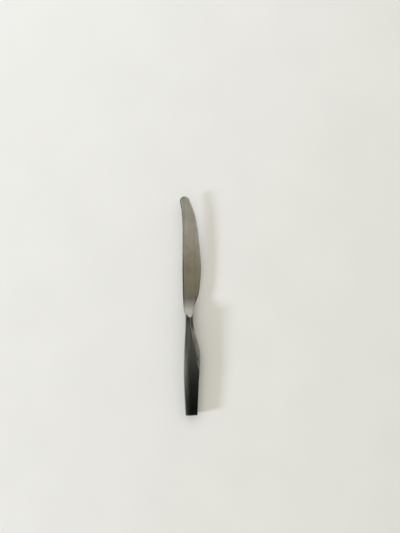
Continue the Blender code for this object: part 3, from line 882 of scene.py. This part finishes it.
def tarnish_and_shade_tints(tree, place, stops):
    """Tints along the knife, through the stops' places and colours from butt to tip: tarnish, and on the
    handle's neck painted shade as well.
    """
    along = add_node(tree, "ShaderNodeSeparateXYZ", {"Vector": place}).outputs["Y"]
    first, last = stops[0][0], stops[-1][0]
    share = add_node(tree, "ShaderNodeMapRange", {"Value": along, "From Min": first, "From Max": last})
    ramp = add_node(tree, "ShaderNodeValToRGB", {"Fac": share})
    marks = ramp.color_ramp.elements
    for at, _ in stops[1:-1]:
        marks.new((at - first) / (last - first))
    for mark, (_, tint) in zip(marks, stops):
        mark.color = (*tint, 1)
    return ramp


def mottled(tree, plain, pattern, least, most):
    """A plain colour that a noise darkens and brightens, between two shares of it."""
    shade = add_node(
        tree, "ShaderNodeMapRange", {"Value": pattern, **NOISE_SPAN, "To Min": least, "To Max": most}
    )
    return add_node(tree, "ShaderNodeVectorMath", {0: plain, "Scale": shade}, operation="SCALE")


class Satin(NamedTuple):
    """How a piece of steel was brushed and used."""

    roughness: float
    grain: float        # how strongly the brushing shows
    stains: float       # how strongly the stains show


BLADE_SATIN = Satin(roughness=0.30, grain=1.0, stains=0.4)
HANDLE_SATIN = Satin(roughness=0.12, grain=0.4, stains=0.35)


def satin_steel(name, steel, satin, tarnish, finish):
    """Stainless steel, brushed lengthwise to a satin.

    The brushing gives soft streaks along the knife and spreads reflections across it. Use has left cloudy
    stains, fine scratches that cross the brushing, and ridges rubbed bright, partly as a painted highlight.
    Painted shade darkens the narrow sides, the facets and the steel near the joint, and tints along the knife
    carry tarnish, with painted shade as well on the handle's neck.
    """
    material, tree, shader = new_material(name)
    place = add_node(tree, "ShaderNodeTexCoord").outputs["Object"]
    wear = add_node(tree, "ShaderNodeAttribute", attribute_name="wear").outputs["Fac"]
    dull = add_node(tree, "ShaderNodeAttribute", attribute_name="dull").outputs["Fac"]
    # Single brush marks are under 0.1 mm, so some are drawn about 1 mm wide to show at all
    streaks = drawn_out(tree, place, width=1.1 * MM, run=70 * MM)
    hairs = drawn_out(tree, place, width=0.16 * MM, run=12 * MM)
    blotches = add_node(
        tree, "ShaderNodeTexNoise", {"Vector": place, "Scale": 1 / (9 * MM), "Detail": 4.0, "Roughness": 0.6}
    )
    scratches = add_node(
        tree, "ShaderNodeMath",
        {0: drawn_out(tree, place, width=0.12 * MM, run=9 * MM, turn=28),
         1: drawn_out(tree, place, width=0.10 * MM, run=6 * MM, turn=-41)},
        operation="MAXIMUM",
    )
    scratched = add_node(tree, "ShaderNodeMapRange", {"Value": scratches, "From Min": 0.66, "From Max": 0.74})
    # Tints along the knife: tarnish, and painted shade on the handle's neck
    tint = tarnish_and_shade_tints(tree, place, tarnish)
    tinted = add_node(tree, "ShaderNodeVectorMath", {0: tuple(steel), 1: tint}, operation="MULTIPLY")
    streaked = mottled(
        tree, tinted, streaks, least=1 - STREAK_DARK * satin.grain, most=1 + STREAK_LIGHT * satin.grain
    )
    # Painted shade darkens the steel of the sides, facets and crown as far as the attribute says
    shade_darkening = add_node(tree, "ShaderNodeMapRange", {"Value": dull, "To Min": 1.0, "To Max": DARKEST_PAINTED_SHADE})
    shaded = add_node(tree, "ShaderNodeVectorMath", {0: streaked, "Scale": shade_darkening}, operation="SCALE")
    stain = add_node(
        tree, "ShaderNodeMapRange",
        {"Value": blotches, "From Min": 0.47, "From Max": 0.72, "To Max": satin.stains},
    )
    stained = add_node(
        tree, "ShaderNodeMix", {"Factor": stain, MIX_A: shaded, MIX_B: (*finish.stain, 1)}, data_type="RGBA"
    )
    # Rubbed ridges turn towards the polish colour, partly as a painted highlight
    rubbed = add_node(
        tree, "ShaderNodeMix",
        {"Factor": wear, MIX_A: stained.outputs[MIX_RESULT], MIX_B: (*finish.polish_and_highlight, 1)},
        data_type="RGBA",
    )
    brushed = add_node(
        tree, "ShaderNodeMapRange",
        {"Value": hairs, **NOISE_SPAN, "To Min": satin.roughness - HAIR_SMOOTH * satin.grain,
         "To Max": satin.roughness + HAIR_ROUGH * satin.grain},
    )
    roughness = add_node(
        tree, "ShaderNodeMath", {0: stain, 1: STAIN_ROUGH, 2: brushed}, operation="MULTIPLY_ADD"
    )
    height = add_node(
        tree, "ShaderNodeMath", {0: scratched, 1: -SCRATCH_DEPTH, 2: hairs}, operation="MULTIPLY_ADD"
    )
    bump = add_node(
        tree, "ShaderNodeBump", {"Strength": 0.25 * satin.grain, "Distance": 0.01 * MM, "Height": height}
    )
    tangent = add_node(tree, "ShaderNodeTangent", direction_type="UV_MAP", uv_map="brushing")
    feed(shader, {
        "Base Color": rubbed.outputs[MIX_RESULT], "Roughness": roughness, "Normal": bump, "Tangent": tangent,
        "Metallic": 1.0, "Anisotropic": 0.55,
    })
    return material


def ground_steel(name, finish):
    """Stainless steel of the cutting edge, ground across it.

    The wheel leaves close parallel lines square to the edge, so the bevel catches the light apart from the
    satin beside it and flickers along its length.
    """
    material, tree, shader = new_material(name)
    brushing = add_node(tree, "ShaderNodeUVMap", uv_map="brushing")
    # Grinding lines are about 0.05 mm apart, so they are drawn 0.3 mm apart to show
    lines = drawn_out(tree, brushing, width=6 * MM, run=0.3 * MM)
    ground = mottled(tree, tuple(finish.ground), lines, least=0.85, most=1.05)
    roughness = add_node(
        tree, "ShaderNodeMapRange", {"Value": lines, **NOISE_SPAN, "To Min": 0.24, "To Max": 0.4}
    )
    bump = add_node(tree, "ShaderNodeBump", {"Strength": 0.3, "Distance": 0.01 * MM, "Height": lines})
    feed(shader, {"Base Color": ground, "Roughness": roughness, "Normal": bump, "Metallic": 1.0})
    return material


def silver_braze(name, finish):
    """Silver brazing alloy, left as it flowed: a pale warm metal, rippled and a little oxidised."""
    material, tree, shader = new_material(name)
    place = add_node(tree, "ShaderNodeTexCoord").outputs["Object"]
    ripples = add_node(tree, "ShaderNodeTexNoise", {"Vector": place, "Scale": 1 / (0.8 * MM), "Detail": 3.0})
    flowed = mottled(tree, tuple(finish.braze), ripples, least=0.7, most=1.05)
    roughness = add_node(
        tree, "ShaderNodeMapRange", {"Value": ripples, **NOISE_SPAN, "To Min": 0.5, "To Max": 0.3}
    )
    bump = add_node(tree, "ShaderNodeBump", {"Strength": 0.4, "Distance": 0.05 * MM, "Height": ripples})
    feed(shader, {"Base Color": flowed, "Roughness": roughness, "Normal": bump, "Metallic": 1.0})
    return material


def handle_cement(name, finish):
    """Resin cement with a mineral filler, cast in the handle: matte, speckled with grains and pores."""
    material, tree, shader = new_material(name)
    place = add_node(tree, "ShaderNodeTexCoord").outputs["Object"]
    grains = add_node(tree, "ShaderNodeTexVoronoi", {"Vector": place, "Scale": 1 / (0.5 * MM)})
    clouds = add_node(tree, "ShaderNodeTexNoise", {"Vector": place, "Scale": 1 / (4 * MM), "Detail": 3.0})
    speckle = add_node(
        tree, "ShaderNodeMapRange",
        {"Value": grains, "From Min": 0.1, "From Max": 0.35, "To Min": 0.8, "To Max": 0.0},
    )
    mixed = add_node(
        tree, "ShaderNodeMix",
        {"Factor": speckle, MIX_A: (*finish.cement, 1), MIX_B: (*finish.cement_grain, 1)}, data_type="RGBA",
    )
    roughness = add_node(tree, "ShaderNodeMapRange", {"Value": clouds, "To Min": 0.75, "To Max": 0.95})
    bump = add_node(tree, "ShaderNodeBump", {"Strength": 0.5, "Distance": 0.1 * MM, "Height": grains})
    feed(shader, {"Base Color": mixed.outputs[MIX_RESULT], "Roughness": roughness, "Normal": bump})
    return material


def table_laminate(name, pale):
    """Matte white laminate: an even pale sheet with a faint pressed grain."""
    material, tree, shader = new_material(name)
    place = add_node(tree, "ShaderNodeTexCoord").outputs["Object"]
    clouds = add_node(tree, "ShaderNodeTexNoise", {"Vector": place, "Scale": 1 / (60 * MM), "Detail": 3.0})
    clouded = mottled(tree, tuple(pale), clouds, least=0.985, most=1.015)
    feed(shader, {"Base Color": clouded, "Roughness": 0.75, "Specular IOR Level": 0.2})
    return material


def bead_tree(name):
    """Geometry nodes for a bead along a curve, uneven where the alloy flowed."""
    tree = bpy.data.node_groups.new(name, "GeometryNodeTree")
    for socket, kind in (
        ("Path", "Geometry"), ("Radius", "Float"), ("Pitch", "Float"), ("Material", "Material"),
    ):
        tree.interface.new_socket(socket, in_out="INPUT", socket_type=f"NodeSocket{kind}")
    tree.interface.new_socket("Bead", in_out="OUTPUT", socket_type="NodeSocketGeometry")
    given = add_node(tree, "NodeGroupInput").outputs
    step = add_node(tree, "ShaderNodeMath", {0: given["Pitch"], 1: BEAD_STEP}, operation="MULTIPLY")
    path = add_node(
        tree, "GeometryNodeResampleCurve", {"Curve": given["Path"], "Length": step}, mode="LENGTH"
    )
    along = add_node(tree, "GeometryNodeSplineParameter").outputs["Length"]
    lumps = add_node(tree, "ShaderNodeMath", {0: along, 1: given["Pitch"]}, operation="DIVIDE")
    flow = add_node(tree, "ShaderNodeTexNoise", {"W": lumps, "Scale": 1.0}, noise_dimensions="1D")
    swell = add_node(
        tree, "ShaderNodeMapRange", {"Value": flow, "From Min": 0.25, "From Max": 0.75, "To Min": 0.7}
    )
    profile = add_node(
        tree, "GeometryNodeCurvePrimitiveCircle", {"Resolution": BEAD_SIDES, "Radius": given["Radius"]}
    )
    bead = add_node(
        tree, "GeometryNodeCurveToMesh",
        {"Curve": path, "Profile Curve": profile, "Scale": swell, "Fill Caps": True},
    )
    real = add_node(tree, "GeometryNodeRealizeInstances", {"Geometry": bead})
    dressed = add_node(
        tree, "GeometryNodeSetMaterial", {"Geometry": real, "Material": given["Material"]}
    )
    add_node(tree, "NodeGroupOutput", {"Bead": dressed})
    return tree


class KNIFE_OT_blade(bpy.types.Operator):
    """Add the forged blade with its scooped bolster, spigot and tang"""

    bl_idname = "knife.blade"
    bl_label = "Blade"

    def execute(self, context):
        knife = Knife(context.scene)
        finish = context.scene.knife_finish
        rows = [(y, ring(outline)) for y, outline in knife.blade_rings()]
        surface, _ = start_skin(rows, closed=True)
        past_crest = surface.verts.layers.float["past_crest"]
        ground_from = knife.joint + knife.blade.scoop
        for face in surface.faces:
            if all(vert[past_crest] and vert.co.y > ground_from for vert in face.verts):
                face.material_index = 1
        mesh = end_skin(surface, "forged_blade", knife.laid_down())
        root = (knife.laid_down() @ Vector((0, ground_from, 0))).y
        tarnish = [(root + place, getattr(finish, tint)) for place, tint in BLADE_TARNISH]
        steels = (
            satin_steel("satin_stainless_blade", finish.blade_steel, BLADE_SATIN, tarnish, finish),
            ground_steel("ground_stainless_edge", finish),
        )
        add_piece("forged_blade", mesh, steels, "blade")
        return {"FINISHED"}


class KNIFE_OT_handle(bpy.types.Operator):
    """Add the two pressed halves of the hollow handle"""

    bl_idname = "knife.handle"
    bl_label = "Handle halves"

    def execute(self, context):
        knife = Knife(context.scene)
        finish = context.scene.knife_finish
        mouth = (knife.laid_down() @ Vector((0, knife.mouth, 0))).y
        # Tarnish and painted shade darken the neck towards the joint
        tarnish = [(mouth + place, getattr(finish, tint)) for place, tint in NECK_SHADE_AND_TARNISH]
        steel = satin_steel("satin_stainless_handle", finish.handle_steel, HANDLE_SATIN, tarnish, finish)
        for half, side in (("upper", 1), ("lower", -1)):
            mesh = soft_rims(half_shell(f"pressed_half_{half}", knife, side), knife.handle.rim)
            add_piece(f"pressed_half_{half}", mesh, (steel,), f"handle_half_{half}")
        return {"FINISHED"}


class KNIFE_OT_seam_braze(bpy.types.Operator):
    """Add the bead of braze along the inside of the handle's seam"""

    bl_idname = "knife.seam_braze"
    bl_label = "Seam braze"

    def execute(self, context):
        knife = Knife(context.scene)
        material = silver_braze("flowed_silver_braze", context.scene.knife_finish)
        path = knife.braze_path()
        curve = bpy.data.curves.new("braze_path", "CURVE")
        curve.dimensions = "3D"
        spline = curve.splines.new("POLY")
        spline.points.add(len(path) - 1)
        for point, (x, y) in zip(spline.points, path):
            point.co = (x, y, 0, 1)
        curve.transform(knife.laid_down())
        obj = bpy.data.objects.new("flowed_braze", curve)
        tree = bead_tree("braze_bead")
        modifier = obj.modifiers.new("bead", "NODES")
        modifier.node_group = tree
        sizes = {"Radius": knife.handle.braze, "Pitch": knife.handle.braze_pitch, "Material": material}
        for socket in tree.interface.items_tree:
            if socket.name in sizes:
                modifier[socket.identifier] = sizes[socket.name]
        mesh = evaluated_mesh(obj)
        mesh.shade_smooth()
        add_piece("flowed_braze", mesh, (material,), "seam_braze")
        return {"FINISHED"}


class KNIFE_OT_tang_cement(bpy.types.Operator):
    """Give the cement that holds the tang its finish"""

    bl_idname = "knife.tang_cement"
    bl_label = "Tang cement"

    def execute(self, context):
        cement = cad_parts["tang_cement"]
        cement.data.materials.clear()
        cement.data.materials.append(handle_cement("cast_resin_cement", context.scene.knife_finish))
        return {"FINISHED"}


class KNIFE_OT_stage(bpy.types.Operator):
    """Add the table top, the light and the camera"""

    bl_idname = "knife.stage"
    bl_label = "Stage"

    def execute(self, context):
        settings = context.scene.knife_stage
        self.add_table(context.scene, settings)
        self.add_lamp(context.scene, settings, "key")
        self.add_lamp(context.scene, settings, "window")
        self.light_room(context.scene, settings)
        self.add_camera(context.scene, settings)
        context.scene.view_settings.view_transform = "Standard"
        return {"FINISHED"}

    @staticmethod
    def add_table(scene, settings):
        sheet = bmesh.new()
        bmesh.ops.create_grid(sheet, size=settings.table_size)
        mesh = bpy.data.meshes.new("table_top")
        bmesh.ops.translate(sheet, verts=sheet.verts, vec=(0, 0, CAD_BOX[0].z - TABLE_GAP))
        sheet.to_mesh(mesh)
        sheet.free()
        mesh.materials.append(table_laminate("matte_white_laminate", settings.table))
        table = bpy.data.objects.new("table_top", mesh)
        scene.collection.objects.link(table)

    @staticmethod
    def add_lamp(scene, settings, name):
        """A soft light on the left, which lights the table but isn't mirrored in the steel."""
        power, rise, turn, distance, width, height = (
            getattr(settings, f"{name}_{what}")
            for what in ("power", "rise", "turn", "distance", "width", "height")
        )
        light = bpy.data.lights.new(name, "AREA")
        light.shape = "ELLIPSE"
        light.size = width
        light.size_y = height
        light.energy = power
        light.color = settings.lamp
        lamp = bpy.data.objects.new(name, light)
        level = math.cos(rise)
        towards = Vector((-level * math.cos(turn), -level * math.sin(turn), math.sin(rise)))
        lamp.location = towards * distance
        lamp.rotation_euler = towards.to_track_quat("Z", "Y").to_euler()
        lamp.visible_glossy = False
        scene.collection.objects.link(lamp)

    @staticmethod
    def light_room(scene, settings):
        """A pale room, dim overhead towards the butt and brighter beyond the tip."""
        world = bpy.data.worlds.new("pale_room")
        world.use_nodes = True
        scene.world = world
        tree = world.node_tree
        tree.nodes.clear()
        towards = add_node(tree, "ShaderNodeTexCoord").outputs["Generated"]
        axes = add_node(tree, "ShaderNodeSeparateXYZ", {"Vector": towards}).outputs
        leans, squares = {}, {}
        for axis, middle, reach in (
            ("X", settings.dim_side, settings.dim_width), ("Y", -settings.dim_lean, settings.dim_depth),
        ):
            leans[axis] = add_node(tree, "ShaderNodeMath", {0: axes[axis], 1: axes["Z"]}, operation="ARCTAN2")
            off = add_node(
                tree, "ShaderNodeMath", {0: leans[axis], 1: 1 / reach, 2: -middle / reach},
                operation="MULTIPLY_ADD",
            )
            squares[axis] = add_node(tree, "ShaderNodeMath", {0: off, 1: off}, operation="MULTIPLY")
        band_fall = -(settings.dim_depth / settings.dim_band) ** 2
        band = add_node(tree, "ShaderNodeMath", {0: squares["Y"], 1: band_fall}, operation="MULTIPLY")
        inside = add_node(tree, "ShaderNodeMath", {0: band}, operation="EXPONENT")
        outside = add_node(tree, "ShaderNodeMath", {0: 1.0, 1: inside}, operation="SUBTRACT")
        far = add_node(
            tree, "ShaderNodeMath", {0: squares["X"], 1: outside, 2: squares["Y"]}, operation="MULTIPLY_ADD"
        )
        fade = add_node(tree, "ShaderNodeMath", {0: 0.0, 1: far}, operation="SUBTRACT")
        dim = add_node(tree, "ShaderNodeMath", {0: fade}, operation="EXPONENT")
        left = add_node(tree, "ShaderNodeMath", {0: 1.0, 1: dim}, operation="SUBTRACT")
        glow = add_node(
            tree, "ShaderNodeMapRange",
            {"Value": leans["Y"], "From Max": settings.glow_rise,
             "To Min": settings.room_level, "To Max": settings.room_level * (1 + settings.glow)},
            interpolation_type="SMOOTHSTEP",
        )
        level = add_node(tree, "ShaderNodeMath", {0: left, 1: glow}, operation="MULTIPLY")
        room = add_node(tree, "ShaderNodeBackground", {"Color": (*settings.room, 1), "Strength": level})
        backdrop = add_node(tree, "ShaderNodeBackground", {"Color": (*settings.table, 1)})
        seen = add_node(tree, "ShaderNodeLightPath").outputs["Is Camera Ray"]
        either = add_node(tree, "ShaderNodeMixShader", {"Fac": seen, 1: room, 2: backdrop})
        add_node(tree, "ShaderNodeOutputWorld", {"Surface": either})

    @staticmethod
    def add_camera(scene, settings):
        """A camera straight above the knife, with the tip at the top of the picture."""
        lens = bpy.data.cameras.new("camera")
        lens.lens = settings.lens
        camera = bpy.data.objects.new("camera", lens)
        camera.location = settings.camera
        scene.collection.objects.link(camera)
        scene.camera = camera


class KNIFE_PT_sidebar(bpy.types.Panel):
    """Lists the knife's pieces and sizes"""

    bl_idname = "KNIFE_PT_sidebar"
    bl_label = "Dinner Knife"
    bl_space_type = "VIEW_3D"
    bl_region_type = "UI"
    bl_category = "Knife"

    def draw(self, context):
        for operator in OPERATORS:
            self.layout.operator(operator.bl_idname)
        for name in GROUPS:
            group = getattr(context.scene, name)
            box = self.layout.box()
            box.label(text=name.replace("_", " ").capitalize())
            for prop in group.__annotations__:
                box.prop(group, prop)


GROUPS = {
    "knife_handle": HandleSizes,
    "knife_blade": BladeSizes,
    "knife_finish": KnifeFinish,
    "knife_stage": StageSettings,
}
OPERATORS = (KNIFE_OT_blade, KNIFE_OT_handle, KNIFE_OT_seam_braze, KNIFE_OT_tang_cement, KNIFE_OT_stage)
CLASSES = (*GROUPS.values(), *OPERATORS, KNIFE_PT_sidebar)


def register():
    for cls in CLASSES:
        bpy.utils.register_class(cls)
    for name, group in GROUPS.items():
        setattr(bpy.types.Scene, name, bpy.props.PointerProperty(type=group))


def unregister():
    for name in GROUPS:
        delattr(bpy.types.Scene, name)
    for cls in reversed(CLASSES):
        bpy.utils.unregister_class(cls)


def main():
    register()
    bpy.ops.knife.blade()
    bpy.ops.knife.handle()
    bpy.ops.knife.seam_braze()
    bpy.ops.knife.tang_cement()
    bpy.ops.knife.stage()


if __name__ == "__main__":
    main()
